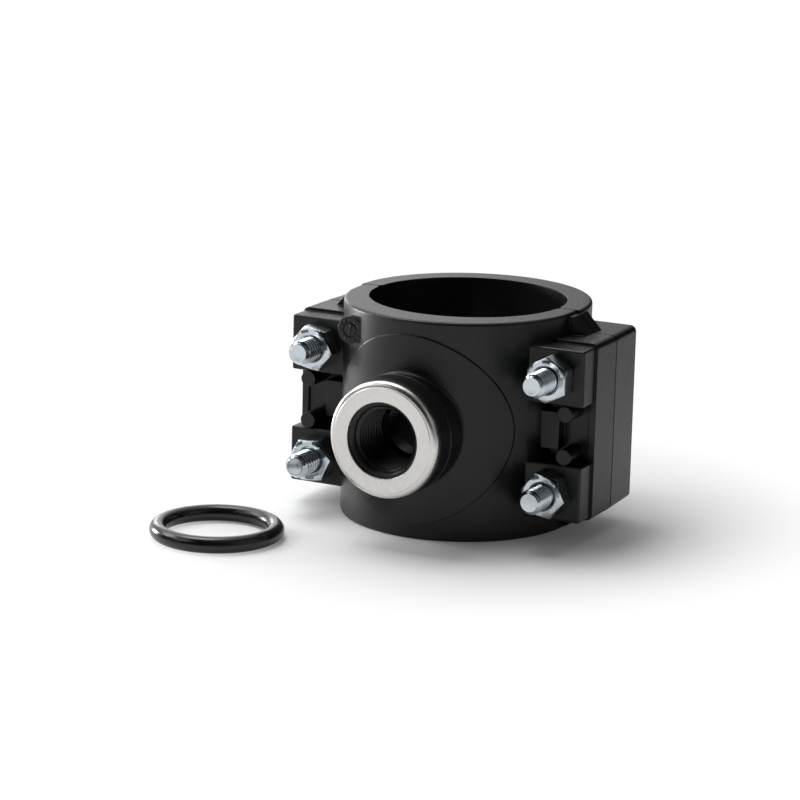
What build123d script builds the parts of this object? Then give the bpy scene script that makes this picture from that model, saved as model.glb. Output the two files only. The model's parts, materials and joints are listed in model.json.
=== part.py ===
from build123d import *
import math
import os

# Tapping saddle: a two-piece plastic clamp that closes round a pipe with four bolts.
# The branch half carries a female threaded outlet with a steel reinforcing ring, and
# an O-ring that seals the drilled hole in the pipe; here the O-ring lies beside it.
# Millimetres. +Z runs along the pipe, the saddle stands on its lower rim at z = 0,
# the branch points along -Y, the bolted ears stand out along X, and the pipe's axis
# is the line x = 0, y = 0. The clamp opens along Y, at the split plane y = 0.

# ---- Pipe and barrel -------------------------------------------------------------
pipe_diameter = 63.0
pipe_play = 0.3            # radial, between the pipe and the bore
body_height = 70.0
front_wall = 9.9           # under the branch
side_wall = 6.2            # of the branch half, where it meets the split
back_wall = 9.0            # of the lower half, at its back
back_side_wall = 7.2       # of the lower half, at the split
rim_round = 1.0
split_gap = 0.6            # left between the halves when the nuts are tight
split_chamfer = 1.0        # on the bore's edge, at the split

# ---- Ears and pads ---------------------------------------------------------------
bolt_gap = 3.15            # from the barrel's side, at the split, to a bolt's axis
ear_margin = 10.85         # from a bolt's axis to the ear's outer side
ear_height = 56.8
front_ear_depth = 14.7     # from the split plane
back_ear_depth = 17.5
back_ear_taper = 0.8       # how far the lower half's ears narrow towards the back
front_ear_round = 2.0
back_ear_round = 2.0
border_width = 2.3         # rim left round the sunk web between two pads
web_depth = 0.8
pad_front = 23.3           # the pads' bearing faces, from the split plane
pad_inset = 0.7            # of a pad's outer side, behind the ear's
pad_outward = 9.0          # from the bolt's axis to a pad's edge, away from the branch
pad_inward = 9.0           # the same, towards the branch
pad_round = 0.7
panel_front = 18.1         # raised panel beside the barrel, between two pads
panel_margin = 0.1         # of its outer side, beyond the bolts' axes
panel_height = 12.0
stub_radius = 2.55         # ejector stubs beside the pads
stub_margin = 4.1          # of their axes, beyond the bolts' axes
stub_offset = 6.85         # above and below the branch's axis
gusset_base = 7.5          # how far out from the barrel a gusset meets the ear
gusset_top = 1.4           # how far out from the barrel it starts, under the rim
front_gusset_depth = 6.0   # from the split plane
back_gusset_depth = 5.0

# ---- Branch ----------------------------------------------------------------------
branch_reach = 58.6        # from the pipe's axis to the ring's face
collar_radius = 18.7
collar_rear = 48.1         # from the pipe's axis
collar_round = 0.5
neck_radius = 17.9
neck_fillet = 1.4
shield_radius = 30.2       # raised field round the branch
shield_rise = 0.8
thread_major = 10.48       # G 1/2, radius
thread_length = 17.8
thread_entry = 0.7         # chamfer at the mouth
port_radius = 8.6          # hole from the thread's end into the bore

# ---- Steel reinforcing ring ------------------------------------------------------
ring_radius = 18.5
ring_hole = 12.0
ring_sheet = 1.2
ring_skirt = 2.7           # length along the branch's axis
ring_round = 1.8
ring_land = 16.7           # radius of the flat land on the ring's face
ring_land_step = 0.15
ring_play = 0.05           # radial, on the collar's seat

# ---- O-ring ----------------------------------------------------------------------
oring_radius = 18.46       # centreline
oring_section = 5.28
oring_place = (-50.6, -71.4)
groove_play = 0.15         # each side of the O-ring
groove_depth = 4.1         # from the bore's wall

# ---- Bolts and nuts, M8 ----------------------------------------------------------
bolt_spacing_z = 36.9      # between the two bolts of an ear
bolt_radius = 3.95
bolt_length = 50.0         # under the head
bolt_end = 38.8            # free end, from the split plane
bolt_chamfer = 0.9
hole_play = 0.55           # radial, in the halves
flats = 13.0               # across the flats of heads and nuts
head_height = 5.3
nut_height = 6.4
nut_play = 0.05            # radial, between bolt and nut
pocket_play = 0.2          # round a head, each side
seat_gap = 0.02            # between a nut and its pad
chamfer_angle = 30.0       # of the corners of heads and nuts
core_width = 11.0          # weight-saving pocket between two heads
core_depth = 9.0
core_wall = 2.2            # left between that pocket and a head's
nut_turns = (28.0, 51.0, 50.0, 5.0)   # how far each nut is turned, in degrees

# ---- Boss with a moulded dial ----------------------------------------------------
dial_radius = 4.35
dial_side = 23.5           # from the pipe's axis
dial_below_rim = 7.1
dial_front = 36.2
dial_groove = 0.35
dial_ring = 2.2

# ---- Derived ---------------------------------------------------------------------
bore_radius = pipe_diameter / 2 + pipe_play
branch_z = body_height / 2
half_gap = split_gap / 2
front_extreme = bore_radius + front_wall
split_extreme = bore_radius + side_wall
front_radius = (front_extreme**2 + split_extreme**2) / (2 * front_extreme)
front_centre = front_radius - front_extreme
back_extreme = bore_radius + back_wall
back_side = bore_radius + back_side_wall
back_radius = (back_extreme**2 + back_side**2) / (2 * back_extreme)
back_centre = back_extreme - back_radius
ear_bottom = branch_z - ear_height / 2
bolt_x = split_extreme + bolt_gap
ear_reach = bolt_x + ear_margin
pad_reach = ear_reach - pad_inset
panel_reach = bolt_x + panel_margin
stub_reach = bolt_x + stub_margin
bolt_rise = bolt_spacing_z / 2
head_seat = bolt_length - bolt_end
hole_radius = bolt_radius + hole_play
thread_mouth = branch_reach - ring_sheet
thread_end = thread_mouth - thread_length
overall = 4 * branch_reach      # larger than anything in the part

bolt_places = (
    (bolt_x, branch_z + bolt_rise),
    (bolt_x, branch_z - bolt_rise),
    (-bolt_x, branch_z + bolt_rise),
    (-bolt_x, branch_z - bolt_rise),
)


def facing_front(x, z, depth=0.0):
    """A plane across the branch's direction; extrusions from it run towards -Y."""
    return Plane(origin=(x, -depth, z), x_dir=(1, 0, 0), z_dir=(0, -1, 0))


def prism(sketch, x, z, back, front):
    """A sketch in X and Z, extruded between two distances in front of the split."""
    return extrude(facing_front(x, z, back) * sketch, front - back)


def turned(profile):
    """A closed profile of (radius, distance in front) points, turned about the branch."""
    face = make_face(Polyline(*[(r, -y) for r, y in profile], close=True))
    return Pos(0, 0, branch_z) * revolve(face, Axis.Y)


def half_space(side):
    """Everything in front of the split (side -1) or behind it (side 1)."""
    return Pos(0, side * (half_gap + overall / 2), branch_z) * Box(overall, overall, overall)


def barrel(radius, centre_y):
    body = Pos(0, centre_y, body_height / 2) * Cylinder(radius, body_height)
    return fillet(body.edges().filter_by(GeomType.CIRCLE), rim_round)


def ears(depth, taper, corner, side):
    """One plate through the barrel that makes both ears of a half."""
    outline = Polyline(
        (-ear_reach, 0),
        (ear_reach, 0),
        (ear_reach - taper, side * depth),
        (taper - ear_reach, side * depth),
        close=True,
    )
    plate = extrude(Pos(0, 0, ear_bottom) * make_face(outline), ear_height)
    corners = [e for e in plate.edges() if abs(e.center().X) > ear_reach - taper - 1
               and abs(e.center().Z - branch_z) > ear_height / 2 - 1]
    return fillet(corners, corner)


def gussets(side):
    """Triangular ribs from under the rim down to the ears, beside the split."""
    ribs = []
    for x_side in (-1, 1):
        for z_side in (-1, 1):
            face = make_face(Polyline(
                (x_side * bore_radius, z_side * (body_height / 2 - rim_round)),
                (x_side * (split_extreme + gusset_top), z_side * (body_height / 2 - rim_round)),
                (x_side * (split_extreme + gusset_base), z_side * (ear_height / 2 - rim_round)),
                (x_side * bore_radius, z_side * (ear_height / 2 - rim_round)),
                close=True,
            ))
            if side < 0:
                ribs.append(prism(face, 0, branch_z, 0, front_gusset_depth))
            else:
                ribs.append(prism(face, 0, branch_z, -back_gusset_depth, 0))
    return ribs


def bore():
    return Pos(0, 0, body_height / 2) * Cylinder(bore_radius, 2 * body_height)


def split_grooves():
    """Square bars that chamfer the bore's two edges at the split."""
    side = math.sqrt(2) * (split_chamfer + half_gap)
    bar = Rot(0, 0, 45) * Box(side, side, 2 * body_height)
    return [Pos(x * bore_radius, 0, branch_z) * bar for x in (-1, 1)]


def bolt_holes():
    hole = Circle(hole_radius)
    return [prism(hole, x, z, -overall, overall) for x, z in bolt_places]


def pads():
    """The four bearing pads for the nuts, on the front of the ears."""
    blocks = []
    height = pad_outward + pad_inward
    for x, z in bolt_places:
        x_side = math.copysign(1, x)
        z_side = math.copysign(1, z - branch_z)
        middle = z + z_side * (pad_outward - pad_inward) / 2
        width = pad_reach - bore_radius / 2
        block = prism(Rectangle(width, height), x_side * (pad_reach - width / 2), middle,
                      front_ear_depth - web_depth - 1, pad_front)
        outer = [e for e in block.edges()
                 if x_side * e.center().X > pad_reach - pad_round or
                 (e.center().Y < -pad_front + pad_round)]
        blocks.append(fillet(outer, pad_round))
    return blocks


def web():
    """What is cut from the ears between two pads."""
    span = 2 * (bolt_rise - pad_inward)
    width = ear_reach - border_width - bore_radius
    return [prism(Rectangle(width, span), x * (bore_radius + width / 2), branch_z,
                  front_ear_depth - web_depth, front_ear_depth + web_depth) for x in (-1, 1)]


def panels():
    """Raised panels beside the barrel and the stubs, between two pads."""
    pieces = []
    back = front_ear_depth - web_depth - 1
    width = panel_reach - bore_radius
    for x in (-1, 1):
        pieces.append(prism(Rectangle(width, panel_height), x * (bore_radius + width / 2),
                            branch_z, back, panel_front))
        for z in (-1, 1):
            pieces.append(prism(Circle(stub_radius), x * stub_reach,
                                branch_z + z * stub_offset, back, pad_front))
    return pieces


def dial():
    """Boss beside the rim, with one turned groove in its face."""
    x = -dial_side
    z = body_height - dial_below_rim
    boss = prism(Circle(dial_radius), x, z, bore_radius - dial_radius, dial_front)
    groove = Circle(dial_ring + dial_groove / 2) - Circle(dial_ring - dial_groove / 2)
    return boss - prism(groove, x, z, dial_front - dial_groove, dial_front)


def shield():
    """Raised field of the barrel round the branch."""
    raised = Pos(0, front_centre - shield_rise, branch_z) * Cylinder(front_radius, body_height)
    return raised & prism(Circle(shield_radius), 0, branch_z, 0, overall)


def outlet():
    """Neck and collar of the branch, with the ring's seat at the front."""
    seat = ring_radius - ring_sheet - ring_play
    seat_rear = branch_reach - ring_skirt
    edge = collar_round
    return turned((
        (0, bore_radius - neck_radius / 2),
        (neck_radius, bore_radius - neck_radius / 2),
        (neck_radius, collar_rear),
        (collar_radius - edge, collar_rear),
        (collar_radius, collar_rear + edge),
        (collar_radius, seat_rear),
        (seat, seat_rear),
        (seat, thread_mouth - ring_sheet),
        (seat - ring_sheet, thread_mouth),
        (0, thread_mouth),
    ))


def passage():
    """The threaded hole, its mouth and the port into the bore."""
    mouth = thread_major + thread_entry
    return turned((
        (0, 0),
        (port_radius, 0),
        (port_radius, thread_end - thread_major + port_radius),
        (thread_major, thread_end),
        (thread_major, thread_mouth - thread_entry),
        (mouth, thread_mouth),
        (mouth, overall),
        (0, overall),
    ))


def oring_groove():
    """Ring-shaped groove round the port that follows the pipe's wall."""
    half = oring_section / 2 + groove_play
    tube = prism(Circle(oring_radius + half) - Circle(oring_radius - half),
                 0, branch_z, 0, overall)
    depth = Pos(0, 0, branch_z) * Cylinder(bore_radius + groove_depth, body_height)
    return tube & depth


def branch_half():
    body = barrel(front_radius, front_centre)
    body = body + shield()
    body = body + outlet()
    seam = [e for e in body.edges()
            if e.geom_type not in (GeomType.CIRCLE, GeomType.LINE)
            and abs(math.hypot(e.center().X, e.center().Z - branch_z) - neck_radius) < 0.01]
    body = fillet(seam, neck_fillet)
    plate = ears(front_ear_depth, 0, front_ear_round, -1)
    body = body + (plate - web())
    body = body + pads() + panels() + gussets(-1) + dial()
    body = body - bore() - split_grooves() - bolt_holes() - passage() - oring_groove()
    return body & half_space(-1)


def hex_pockets():
    hexagon = RegularPolygon(flats / 2 + pocket_play, 6, major_radius=False, rotation=30)
    return [prism(hexagon, x, z, -overall, -head_seat) for x, z in bolt_places]


def core_pockets():
    height = 2 * (bolt_rise - core_wall - (flats / 2 + pocket_play) / math.cos(math.pi / 6))
    pocket = RectangleRounded(core_width, height, core_width / 5)
    return [prism(pocket, x, branch_z, -overall, core_depth - back_ear_depth)
            for x in (-bolt_x, bolt_x)]


def lower_half():
    body = barrel(back_radius, back_centre)
    body = body + ears(back_ear_depth, back_ear_taper, back_ear_round, 1)
    body = body + gussets(1)
    body = body - bore() - split_grooves() - bolt_holes() - hex_pockets() - core_pockets()
    return body & half_space(1)


def steel_ring():
    face = branch_reach
    rear = branch_reach - ring_skirt
    inner = ring_radius - ring_sheet
    land = face - ring_land_step
    outline = Polyline(
        (ring_hole, -face),
        (ring_land - ring_land_step, -face),
        (ring_land, -land),
        (ring_radius, -land),
        (ring_radius, -rear),
        (inner, -rear),
        (inner, -(face - ring_sheet)),
        (ring_hole, -(face - ring_sheet)),
        close=True,
    )
    section = make_face(outline)
    section = fillet(corner_at(section, ring_radius, -land), ring_round)
    return Pos(0, 0, branch_z) * revolve(section, Axis.Y)


def corner_at(section, x, y):
    return [v for v in section.vertices() if abs(v.X - x) + abs(v.Y - y) < 1e-6]


def oring():
    x, y = oring_place
    return Pos(x, y, oring_section / 2) * Torus(oring_radius, oring_section / 2)


def chamfered_hexagon(height, front_end, back_end):
    """A hexagon bar along -Y from the origin, with turned corners at the named ends."""
    bar = prism(RegularPolygon(flats / 2, 6, major_radius=False), 0, 0, 0, height)
    corner = flats / 2 / math.cos(math.pi / 6)
    land = 0.95 * flats / 2
    drop = (corner - land) * math.tan(math.radians(chamfer_angle))
    low = drop if back_end else 0
    high = drop if front_end else 0
    points = [(0, 0), (land if back_end else corner, 0)]
    if back_end:
        points.append((corner, -low))
    points.append((corner, high - height))
    if front_end:
        points.append((land, -height))
    points.append((0, -height))
    cone = revolve(make_face(Polyline(*points, close=True)), Axis.Y)
    return bar & cone


def bolt(x, z):
    """Hexagon-head bolt whose head sits in the lower half's pocket."""
    head = Rot(0, 30, 0) * chamfered_hexagon(head_height, False, True)
    shank = prism(Circle(bolt_radius), 0, 0, 0, bolt_length)
    end = [e for e in shank.edges().filter_by(GeomType.CIRCLE) if e.center().Y < -1]
    shank = chamfer(end, bolt_chamfer)
    return Pos(x, head_seat, z) * (Pos(0, head_height, 0) * head + shank)


def nut(x, z, turn):
    """Hexagon nut on its pad, with countersunk bore."""
    bore_r = bolt_radius + nut_play
    body = Rot(0, -turn, 0) * chamfered_hexagon(nut_height, True, True)
    body = body - prism(Circle(bore_r), 0, 0, -1, nut_height + 1)
    mouths = [e for e in body.edges().filter_by(GeomType.CIRCLE)
              if abs(e.radius - bore_r) < 1e-4]
    body = chamfer(mouths, bolt_chamfer / 2)
    return Pos(x, -(pad_front + seat_gap), z) * body


def main():
    os.makedirs("parts", exist_ok=True)
    nodes = {
        "branch_half": branch_half(),
        "lower_half": lower_half(),
        "steel_ring": steel_ring(),
        "oring": oring(),
    }
    for number, ((x, z), turn) in enumerate(zip(bolt_places, nut_turns), 1):
        nodes[f"bolt_{number}"] = bolt(x, z)
        nodes[f"nut_{number}"] = nut(x, z, turn)
    for name, shape in nodes.items():
        export_step(shape, f"parts/{name}.step")


main()
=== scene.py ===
import json
import math

import bmesh
import bpy
from mathutils import Matrix, Vector


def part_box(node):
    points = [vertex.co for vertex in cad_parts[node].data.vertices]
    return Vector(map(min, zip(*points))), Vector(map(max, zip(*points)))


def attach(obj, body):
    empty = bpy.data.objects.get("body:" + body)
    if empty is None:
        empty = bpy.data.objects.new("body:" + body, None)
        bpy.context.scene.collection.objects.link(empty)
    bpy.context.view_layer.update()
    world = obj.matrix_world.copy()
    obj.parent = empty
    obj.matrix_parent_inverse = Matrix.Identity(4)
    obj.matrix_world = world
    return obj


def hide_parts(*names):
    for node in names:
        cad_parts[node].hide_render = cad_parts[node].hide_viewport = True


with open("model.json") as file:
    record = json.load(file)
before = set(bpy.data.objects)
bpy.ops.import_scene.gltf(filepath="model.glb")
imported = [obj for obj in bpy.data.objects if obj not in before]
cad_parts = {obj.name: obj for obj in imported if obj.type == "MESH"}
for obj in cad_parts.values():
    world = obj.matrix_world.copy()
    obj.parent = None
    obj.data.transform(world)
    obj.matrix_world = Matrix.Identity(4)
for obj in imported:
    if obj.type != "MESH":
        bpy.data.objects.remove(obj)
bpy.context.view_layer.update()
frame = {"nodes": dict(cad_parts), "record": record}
NODES = frame["nodes"]
MOUNTS = {m["name"]: m for m in frame["record"]["mounts"]}

MM = 0.001
MERGE = 1e-7                         # points closer than this become one
SEGMENTS = 44                        # round a bolt
BLACK = (0.006, 0.006, 0.0065)
WHITE = (1, 1, 1, 1)

# The room's soft panels: azimuth and elevation in degrees, and radiance.
PANELS = ((0, 15, 0.30), (135, 15, 0.21), (0, 50, 0.16), (120, 50, 1.10))
PANEL_EDGE = 0.75                    # cosine of the angle at which a panel has faded out
BACKDROP = (150, 8)                  # where gloss sees the white backdrop
# Softboxes: name, place, aim, width, height, power.
LIGHTS = (
    ("top_left", (-0.28, 0.02, 0.80), (0, 0, 0), 0.4, 0.4, 3.1),
    ("over", (0, 0.1, 0.8), (0, 0, 0), 0.5, 0.5, 0.4),
    ("side_up", (-0.55, 0.05, 0.55), (0, 0, 0.03), 0.3, 0.3, 0.7),
    ("front_left", (-0.45, -0.5, 0.45), (0, 0, 0.03), 0.4, 0.4, 0.6),
    ("left", (-0.407, -0.148, 0.29), (0, 0, 0.04), 0.16, 0.16, 0.5),
    ("back_left", (-0.33, 0.42, 0.20), (0, 0, 0.05), 0.3, 0.3, 0.28),
    ("behind", (-0.36, 0.25, 0.12), (0, 0, 0.06), 0.1, 0.1, 0.14),
    ("low_left", (-0.349, -0.025, 0.058), (0, 0, 0.04), 0.08, 0.08, 0.60),
)


# ---- Camera ----------------------------------------------------------------------
def add_camera():
    """A long lens from the right and a little above, its axes written out."""
    azimuth, elevation, roll = (math.radians(v) for v in (26.896, 13.573, 1.323))
    distance, shift_x, shift_y = 971.73 * MM, 21.147 * MM, -0.816 * MM
    target = Vector((0, 0, 35.1 * MM))
    sensor = 36.0
    back = Vector((math.sin(azimuth) * math.cos(elevation),
                   -math.cos(azimuth) * math.cos(elevation), math.sin(elevation)))
    right = Vector((math.cos(azimuth), math.sin(azimuth), 0))
    up = back.cross(right)
    axis_x = math.cos(roll) * right + math.sin(roll) * up
    axis_y = -math.sin(roll) * right + math.cos(roll) * up
    data = bpy.data.cameras.new("camera")
    data.sensor_width = sensor
    data.lens = sensor * 3007.9 / 800
    data.clip_end = 20
    camera = bpy.data.objects.new("camera", data)
    bpy.context.scene.collection.objects.link(camera)
    turn = Matrix((axis_x, axis_y, back)).transposed().to_4x4()
    place = target + distance * back - shift_x * axis_x - shift_y * axis_y
    camera.matrix_world = Matrix.Translation(place) @ turn
    bpy.context.scene.camera = camera


# ---- Nodes -----------------------------------------------------------------------
def add_node(tree, kind, **settings):
    made = tree.nodes.new(kind)
    for key, value in settings.items():
        setattr(made, key, value)
    return made


def calculate(tree, operation, one, other):
    """A math node on two values, each a socket or a number."""
    made = add_node(tree, "ShaderNodeMath", operation=operation)
    for socket, value in zip(made.inputs, (one, other)):
        if isinstance(value, (int, float)):
            socket.default_value = value
        else:
            tree.links.new(value, socket)
    return made.outputs[0]


def smoothly(tree, value, low, high, start, end):
    """value from start..end, mapped to low..high with soft ends."""
    made = add_node(tree, "ShaderNodeMapRange", interpolation_type="SMOOTHSTEP")
    for name, number in (("From Min", start), ("From Max", end),
                         ("To Min", low), ("To Max", high)):
        made.inputs[name].default_value = number
    tree.links.new(value, made.inputs["Value"])
    return made.outputs["Result"]


def mixed(tree, share, one, other):
    """one where share is 0, other where it is 1."""
    made = add_node(tree, "ShaderNodeMixShader")
    for socket, value in zip(made.inputs, (share, one, other)):
        tree.links.new(value, socket)
    return made.outputs[0]


def seen_directly(tree, share):
    """1 for the camera and through glass, share for gloss, 0 for what gives light."""
    path = add_node(tree, "ShaderNodeLightPath").outputs
    gloss = calculate(tree, "MULTIPLY", path["Is Glossy Ray"], share)
    camera = calculate(tree, "MAXIMUM", gloss, path["Is Camera Ray"])
    return calculate(tree, "MAXIMUM", camera, path["Is Transmission Ray"])


# ---- Materials -------------------------------------------------------------------
class Shader:
    """A material's node tree with short calls for the nodes used here."""

    def __init__(self, name, color, roughness, metallic=0.0, ior=1.5):
        self.material = bpy.data.materials.new(name)
        self.material.use_nodes = True
        self.tree = self.material.node_tree
        self.main = self.tree.nodes["Principled BSDF"]
        self.main.inputs["Base Color"].default_value = (*color, 1)
        self.main.inputs["Roughness"].default_value = roughness
        self.main.inputs["Metallic"].default_value = metallic
        self.main.inputs["IOR"].default_value = ior
        self.place = self.node("ShaderNodeTexCoord").outputs["Object"]

    def node(self, kind, **settings):
        return add_node(self.tree, kind, **settings)

    def link(self, source, target):
        self.tree.links.new(source, target)

    def axes(self, vector):
        """X, Y and Z of a vector."""
        made = self.node("ShaderNodeSeparateXYZ")
        self.link(vector, made.inputs[0])
        return made.outputs

    def vector(self, operation, by=None):
        """A vector math node on the place, with a fixed second vector."""
        made = self.node("ShaderNodeVectorMath", operation=operation)
        if by:
            made.inputs[1].default_value = by
        self.link(self.place, made.inputs[0])
        return made.outputs

    def noise(self, scale, detail=2.0, vector=None):
        made = self.node("ShaderNodeTexNoise")
        made.inputs["Scale"].default_value = scale
        made.inputs["Detail"].default_value = detail
        self.link(vector or self.place, made.inputs["Vector"])
        return made.outputs["Fac"]

    def noise_along(self, value, scale, detail=2.0):
        """Noise that changes with one value only."""
        made = self.node("ShaderNodeTexNoise", noise_dimensions="1D")
        made.inputs["Scale"].default_value = scale
        made.inputs["Detail"].default_value = detail
        self.link(value, made.inputs["W"])
        return made.outputs["Fac"]

    def spread(self, value, low, high, start=0.0, end=1.0):
        return smoothly(self.tree, value, low, high, start, end)

    def add(self, one, other):
        return calculate(self.tree, "ADD", one, other)

    def times(self, one, other):
        return calculate(self.tree, "MULTIPLY", one, other)

    def power(self, one, other):
        return calculate(self.tree, "POWER", one, other)

    def size(self, value):
        return calculate(self.tree, "ABSOLUTE", value, 0.0)

    def roughness(self, value, low, high, start=0.3, end=0.7):
        self.link(self.spread(value, low, high, start, end), self.main.inputs["Roughness"])

    def relief(self, height, depth, strength=1.0, edge=0.0):
        """Bump from a height of 0..1 over a depth in metres, on edges rounded by edge."""
        made = self.node("ShaderNodeBump")
        made.inputs["Strength"].default_value = strength
        made.inputs["Distance"].default_value = depth
        self.link(height, made.inputs["Height"])
        if edge:
            soft = self.node("ShaderNodeBevel", samples=8)
            soft.inputs["Radius"].default_value = edge
            self.link(soft.outputs["Normal"], made.inputs["Normal"])
        self.link(made.outputs["Normal"], self.main.inputs["Normal"])


def plastic():
    """Moulded glass-filled plastic: satin, with a grain on its flat tops and sides."""
    flat_from, flat_to = 0.93, 0.99      # how squarely a flat face looks along Z or X
    side_share = 0.35                    # the grain of the sides, against 1 on the tops
    grain_scale, fine_scale = 1900, 2600
    grain_depth, edge = 0.08 * MM, 0.4 * MM
    s = Shader("black_plastic", BLACK, 0.42, ior=1.42)
    facing = s.axes(s.node("ShaderNodeNewGeometry").outputs["True Normal"])
    flat = s.add(s.spread(s.size(facing["Z"]), 0.0, 1.0, flat_from, flat_to),
                 s.spread(s.size(facing["X"]), 0.0, side_share, flat_from, flat_to))
    # a little longer along Y, where the flat faces run away from the front
    longer = s.vector("MULTIPLY", (1, 0.75, 1))["Vector"]
    grain = s.spread(s.noise(grain_scale, 3.0, longer), -0.36, 0.08, 0.32, 0.62)
    grain = s.times(grain, flat)
    fine = s.noise(fine_scale)
    s.link(s.add(grain, 0.5), s.main.inputs["Specular IOR Level"])
    s.roughness(fine, 0.30, 0.42, 0.35, 0.65)
    s.relief(s.add(s.times(grain, 2.0), s.times(fine, 0.3)), grain_depth, edge=edge)
    return s.material


def stainless():
    """Turned and slightly worn: fine rings about the branch's axis, and a mottle."""
    height = MOUNTS["branch_thread"]["pos_m"][2]
    s = Shader("stainless", (0.66, 0.645, 0.62), 0.30, 1.0)
    place = s.axes(s.place)
    across = s.power(place["X"], 2.0)
    up = s.power(calculate(s.tree, "SUBTRACT", place["Z"], height), 2.0)
    turned = s.noise_along(s.power(s.add(across, up), 0.5), 9000)
    mottle = s.noise(900, 3.0)
    s.roughness(mottle, 0.27, 0.32)
    s.relief(s.add(turned, s.times(mottle, 0.8)), 0.001 * MM)
    return s.material


def zinc(name, rough):
    """Zinc plate, a little blue, from rough to 0.04 rougher."""
    s = Shader(name, (0.55, 0.60, 0.635), rough, 1.0)
    mottle = s.noise(900, 3.0)
    s.roughness(mottle, rough, rough + 0.04)
    s.relief(mottle, 0.0008 * MM)
    return s.material


def rubber():
    s = Shader("rubber", BLACK, 0.2)
    broad = s.noise(120)
    s.roughness(broad, 0.20, 0.30)
    s.relief(broad, 0.03 * MM, 0.6)
    return s.material


def paint(piece, material):
    piece.data.materials.clear()
    piece.data.materials.append(material)


# ---- Meshes ----------------------------------------------------------------------
def new_piece(name, bm, sharp=None):
    """An object from a mesh; sharp is the angle in degrees up to which it is smooth."""
    mesh = bpy.data.meshes.new(name)
    bm.to_mesh(mesh)
    bm.free()
    if sharp is not None:
        mesh.polygons.foreach_set("use_smooth", [True] * len(mesh.polygons))
        mesh.set_sharp_from_angle(angle=math.radians(sharp))
    made = bpy.data.objects.new(name, mesh)
    bpy.context.scene.collection.objects.link(made)
    return made


def on_circle(place, radius, along, angle):
    """A point about the line along Y through place."""
    return place + Vector((radius * math.sin(angle), along, radius * math.cos(angle)))


def helix(bm, length, pitch, profile, limit, place, segments=SEGMENTS):
    """Right-handed thread surface along +Y from place, as rows that follow the helix.

    profile holds (share of a pitch, radius); limit(distance, radius) gives the
    radius that is left at a distance from the start.
    """
    step = len(profile)
    rows = [(turn + share, radius) for turn in range(int(length / pitch) + 3)
            for share, radius in profile]
    grid = []
    for where, radius in rows:
        ring = []
        for i in range(segments):
            along = min(max(pitch * (where + i / segments - 1), 0.0), length)
            angle = 2 * math.pi * i / segments
            ring.append(bm.verts.new(on_circle(place, limit(along, radius), along, angle)))
        grid.append(ring)
    for j in range(len(rows) - step - 1):
        for i in range(segments):
            nxt = (i + 1) % segments
            up = step if nxt == 0 else 0
            bm.faces.new((grid[j][i], grid[j + 1][i],
                          grid[j + 1 + up][nxt], grid[j + up][nxt]))
    bmesh.ops.remove_doubles(bm, verts=bm.verts, dist=MERGE)
    bmesh.ops.dissolve_degenerate(bm, edges=bm.edges, dist=MERGE)
    loose = [v for v in bm.verts if not v.link_faces]
    bmesh.ops.delete(bm, geom=loose, context="VERTS")


def tube(bm, place, points, segments=SEGMENTS):
    """Surface of revolution about +Y through (radius, distance) points."""
    angles = [2 * math.pi * i / segments for i in range(segments)]
    rings = [[bm.verts.new(on_circle(place, radius, along, a)) for a in angles]
             for radius, along in points]
    for one, other in zip(rings, rings[1:]):
        for i in range(segments):
            nxt = (i + 1) % segments
            bm.faces.new((one[i], other[i], other[nxt], one[nxt]))


def middle_of(low, high):
    return (low.x + high.x) / 2, (low.z + high.z) / 2


# ---- Pieces ----------------------------------------------------------------------
def threaded_bolt(number, longer, material):
    """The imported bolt's head, with a rolled thread in place of the plain shank.

    longer is how much further the thread stands out than the plain shank. The pitch
    is coarser than the 1.25 mm of a real M8 thread, so that the ridges show.
    """
    crest, pitch, depth, threaded = 3.95 * MM, 1.55 * MM, 0.80 * MM, 22 * MM
    head, lead, blunt = 5.3 * MM, 1.1 * MM, 0.06 * MM
    root = crest - depth
    low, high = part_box(f"bolt_{number}")
    low.y -= longer
    x, z = middle_of(low, high)
    axis = Vector((x, low.y, z))
    seat = high.y - head
    bm = bmesh.new()
    bm.from_mesh(NODES[f"bolt_{number}"].data)
    shank = [f for f in bm.faces if f.calc_center_median().y < seat - 0.01 * MM]
    bmesh.ops.delete(bm, geom=shank, context="FACES")
    profile = [(0.0, crest - 0.05 * MM), (0.08, crest), (0.26, crest),
               (0.34, crest - blunt), (0.62, root), (0.70, root)]
    end = crest - lead
    helix(bm, threaded, pitch, profile, lambda t, r: min(r, end + t), axis)
    # the free end is a little hollow
    tube(bm, axis, [(1e-5 * MM, 0.12 * MM), (end * 0.72, 0.10 * MM), (end * 0.9, 0.0),
                    (end, 0.0)])
    body = crest - blunt
    tube(bm, axis, [(root, threaded), (body, threaded + 0.3 * MM), (body, seat - low.y)])
    piece = new_piece(f"threaded_bolt_{number}", bm, 20)
    paint(piece, material)
    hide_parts(f"bolt_{number}")
    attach(piece, "clamp_back")


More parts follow.
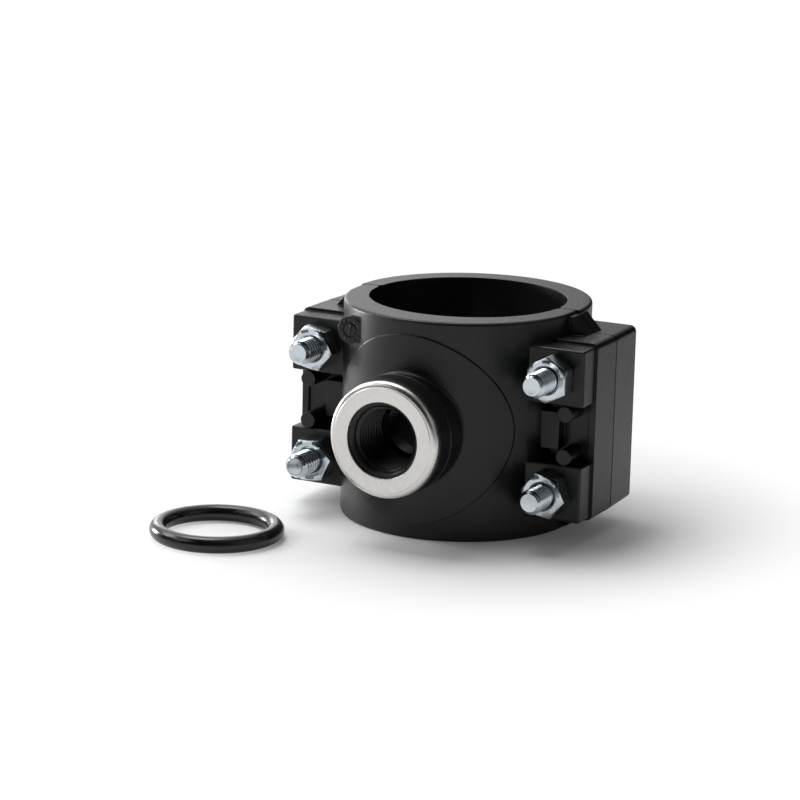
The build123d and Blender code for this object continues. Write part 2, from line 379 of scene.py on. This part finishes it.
def dressed_nut(number, material):
    """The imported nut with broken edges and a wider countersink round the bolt."""
    bore, mouth, wide, deep = 4.0 * MM, 4.45 * MM, 4.75 * MM, 1.5 * MM
    near = 0.05 * MM
    low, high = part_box(f"nut_{number}")
    x, z = middle_of(low, high)
    bm = bmesh.new()
    bm.from_mesh(NODES[f"nut_{number}"].data)
    for vert in bm.verts:
        radius = math.hypot(vert.co.x - x, vert.co.z - z)
        if abs(radius - mouth) < near:
            vert.co.x = x + (vert.co.x - x) * wide / radius
            vert.co.z = z + (vert.co.z - z) * wide / radius
        elif abs(radius - bore) < near:
            vert.co.y = min(max(vert.co.y, low.y + deep), high.y - deep)
    bmesh.ops.remove_doubles(bm, verts=bm.verts, dist=MERGE)
    piece = new_piece(f"dressed_nut_{number}", bm, 20)
    edges = piece.modifiers.new("edges", "BEVEL")
    edges.width = 0.14 * MM
    edges.segments = 2
    edges.harden_normals = True
    edges.limit_method = "ANGLE"
    edges.angle_limit = math.radians(35)
    paint(piece, material)
    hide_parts(f"nut_{number}")
    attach(piece, f"nut_body_{number}")


def branch_thread(material):
    """Ridges of the G 1/2 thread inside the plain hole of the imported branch."""
    major, minor, pitch, length = 10.47 * MM, 9.32 * MM, 1.814 * MM, 17.05 * MM
    blunt, lead = 0.08 * MM, 0.9         # lead: slope at which the ridges grow inwards
    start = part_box("branch_half")[0].y + 0.7 * MM
    centre = Vector((0, start, MOUNTS["branch_thread"]["pos_m"][2]))
    profile = [(0.0, minor), (0.16, minor), (0.42, major - blunt), (0.50, major),
               (0.66, major), (0.74, major - blunt)]
    bm = bmesh.new()
    helix(bm, length, pitch, profile,
          lambda t, r: max(r, major - lead * t, minor), centre, 72)
    for face in bm.faces:
        face.normal_flip()
    piece = new_piece("branch_thread", bm, 30)
    paint(piece, material)
    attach(piece, "saddle")


def collar_trim(material):
    """Fine ribs round the collar behind the ring, and the thin bead at its rear."""
    radius, front, rear = 18.7 * MM, -55.8 * MM, -48.1 * MM
    rib, rise, bead = 0.75 * MM, 0.07 * MM, 0.28 * MM
    around = 160
    low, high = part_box("steel_ring")
    axis = Vector((0, 0, middle_of(low, high)[1]))
    sunk = radius - 0.03 * MM
    points = [(sunk, front)]
    along = front + 0.1 * MM
    while along + rib < rear - 1.3 * MM:
        points += [(radius + 0.01 * MM, along), (radius + rise, along + rib / 2)]
        along += rib
    points += [(sunk, along)]
    bm = bmesh.new()
    tube(bm, axis, points, around)
    middle = rear - 0.45 * MM
    arc = [math.pi * i / 8 for i in range(-1, 10)]
    tube(bm, axis, [(radius + bead * math.sin(a), middle - bead * math.cos(a)) for a in arc],
         around)
    piece = new_piece("collar_trim", bm, 20)
    paint(piece, material)
    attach(piece, "saddle")


def pressed_ring(material):
    """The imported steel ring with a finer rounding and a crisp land."""
    hole, outer, inner, sheet = 12.0 * MM, 18.5 * MM, 17.3 * MM, 1.2 * MM
    land, step, rounding, skirt = 16.55 * MM, 0.15 * MM, 1.8 * MM, 2.7 * MM
    soft = 0.3 * MM
    lip_steps, round_steps, around = 6, 20, 192
    low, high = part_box("steel_ring")
    axis = Vector((0, low.y, middle_of(low, high)[1]))
    points = [(inner, skirt), (inner, sheet), (hole, sheet)]
    points += [(hole + soft * (1 - math.cos(a)), soft * (1 - math.sin(a)))
               for a in (math.pi / 2 * i / lip_steps for i in range(lip_steps + 1))]
    points += [(land, 0), (land + step, step)]
    centre = outer - rounding
    points += [(centre + rounding * math.sin(a), step + rounding * (1 - math.cos(a)))
               for a in (math.pi / 2 * i / round_steps for i in range(1, round_steps + 1))]
    points += [(outer, skirt), (inner, skirt)]
    bm = bmesh.new()
    tube(bm, axis, points, around)
    bmesh.ops.remove_doubles(bm, verts=bm.verts, dist=MERGE)
    bmesh.ops.recalc_face_normals(bm, faces=bm.faces)
    piece = new_piece("pressed_ring", bm, 25)
    paint(piece, material)
    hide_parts("steel_ring")
    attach(piece, "saddle")


def dial_marks(material):
    """Raised ticks and a pointer on the moulded dial."""
    centre = Vector((-23.5 * MM, -36.2 * MM, 62.9 * MM))
    rise, sunk = Vector((0, -0.16 * MM, 0)), Vector((0, 0.02 * MM, 0))
    ticks, pointer = 12, math.radians(12)
    bm = bmesh.new()

    def bar(angle, near, far, width):
        """A bar at an angle from straight up, from near to far of the centre."""
        along = Vector((math.sin(angle), 0, math.cos(angle)))
        half = Vector((math.cos(angle), 0, -math.sin(angle))) * width / 2
        base = [centre + along * near - half, centre + along * far - half,
                centre + along * far + half, centre + along * near + half]
        lower = [bm.verts.new(p + sunk) for p in base]
        upper = [bm.verts.new(p + rise) for p in base]
        bm.faces.new(upper)
        for i in range(4):
            j = (i + 1) % 4
            bm.faces.new((lower[i], lower[j], upper[j], upper[i]))

    for i in range(ticks):
        bar(2 * math.pi * i / ticks, 2.55 * MM, 3.95 * MM, 0.34 * MM)
    bar(pointer, -1.5 * MM, 1.7 * MM, 0.42 * MM)
    bar(pointer, 1.3 * MM, 1.7 * MM, 0.95 * MM)
    bmesh.ops.recalc_face_normals(bm, faces=bm.faces)
    piece = new_piece("dial_marks", bm)
    paint(piece, material)
    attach(piece, "saddle")


# ---- Setting ---------------------------------------------------------------------
def floor():
    """A white table: as lit near the object, plain white further out."""
    bm = bmesh.new()
    bmesh.ops.create_grid(bm, x_segments=1, y_segments=1, size=3.0)
    made = new_piece("floor", bm)
    s = Shader("floor", (0.86, 0.86, 0.86), 0.6)
    s.main.inputs["Specular IOR Level"].default_value = 0.2
    glow = s.node("ShaderNodeEmission")
    glow.inputs["Color"].default_value = WHITE
    glow.inputs["Strength"].default_value = 1.02
    far = s.vector("LENGTH")["Value"]
    plain = s.spread(far, 0.05, 1.0, 0.06, 0.13)
    # gloss sees the white on the left and in front; behind on the right, the lit table
    right = s.vector("DOT_PRODUCT", (0.77, 0.64, 0))["Value"]
    share = s.times(s.spread(right, 1.0, 0.1, 0.0, 0.2), s.spread(far, 0.6, 1.0, 0.08, 0.20))
    seen = s.times(plain, seen_directly(s.tree, share))
    s.link(mixed(s.tree, seen, s.main.outputs[0], glow.outputs[0]),
           s.tree.nodes["Material Output"].inputs["Surface"])
    made.data.materials.append(s.material)


def softbox(name, place, aim, width, height, power):
    data = bpy.data.lights.new(name, "AREA")
    data.shape = "RECTANGLE"
    data.size = width
    data.size_y = height
    data.energy = power
    made = bpy.data.objects.new(name, data)
    bpy.context.scene.collection.objects.link(made)
    made.location = place
    made.rotation_euler = (Vector(aim) - Vector(place)).to_track_quat("-Z", "Z").to_euler()
    made.visible_camera = False


def panel(tree, place, azimuth, elevation, strength):
    """A soft round patch of the sky, brightest in the middle."""
    around, above = math.radians(azimuth), math.radians(elevation)
    dot = add_node(tree, "ShaderNodeVectorMath", operation="DOT_PRODUCT")
    dot.inputs[1].default_value = Vector((math.cos(around) * math.cos(above),
                                          math.sin(around) * math.cos(above),
                                          math.sin(above)))
    tree.links.new(place, dot.inputs[0])
    return smoothly(tree, dot.outputs["Value"], 0.0, strength, PANEL_EDGE, 1.0)


def surroundings():
    """Soft white panels round the room; the camera sees plain white all round."""
    world = bpy.data.worlds.new("world")
    bpy.context.scene.world = world
    world.use_nodes = True
    tree = world.node_tree
    tree.nodes.clear()
    place = add_node(tree, "ShaderNodeTexCoord").outputs["Generated"]
    total = panel(tree, place, *PANELS[0])
    for spec in PANELS[1:]:
        total = calculate(tree, "ADD", total, panel(tree, place, *spec))
    room = add_node(tree, "ShaderNodeBackground")
    tree.links.new(total, room.inputs["Color"])
    plain = add_node(tree, "ShaderNodeBackground")
    plain.inputs["Color"].default_value = WHITE
    # gloss shows the white backdrop behind and to the left
    seen = seen_directly(tree, panel(tree, place, *BACKDROP, 1.0))
    out = add_node(tree, "ShaderNodeOutputWorld")
    tree.links.new(mixed(tree, seen, room.outputs[0], plain.outputs[0]),
                   out.inputs["Surface"])


add_camera()
PLASTIC, STEEL, RUBBER = plastic(), stainless(), rubber()
ZINC, ROLLED = zinc("zinc", 0.20), zinc("zinc_thread", 0.17)
for name, node in NODES.items():
    if name in ("branch_half", "lower_half"):
        paint(node, PLASTIC)
    elif name == "steel_ring":
        paint(node, STEEL)
    elif name == "oring":
        paint(node, RUBBER)
    else:
        paint(node, ZINC)
for number, longer in ((1, 1.0 * MM), (2, 0.0), (3, -1.0 * MM), (4, 0.0)):
    threaded_bolt(number, longer, ROLLED)
    dressed_nut(number, ZINC)
branch_thread(PLASTIC)
collar_trim(PLASTIC)
pressed_ring(STEEL)
dial_marks(PLASTIC)
floor()
surroundings()
for light in LIGHTS:
    softbox(*light)
bpy.context.scene.view_settings.view_transform = "Standard"
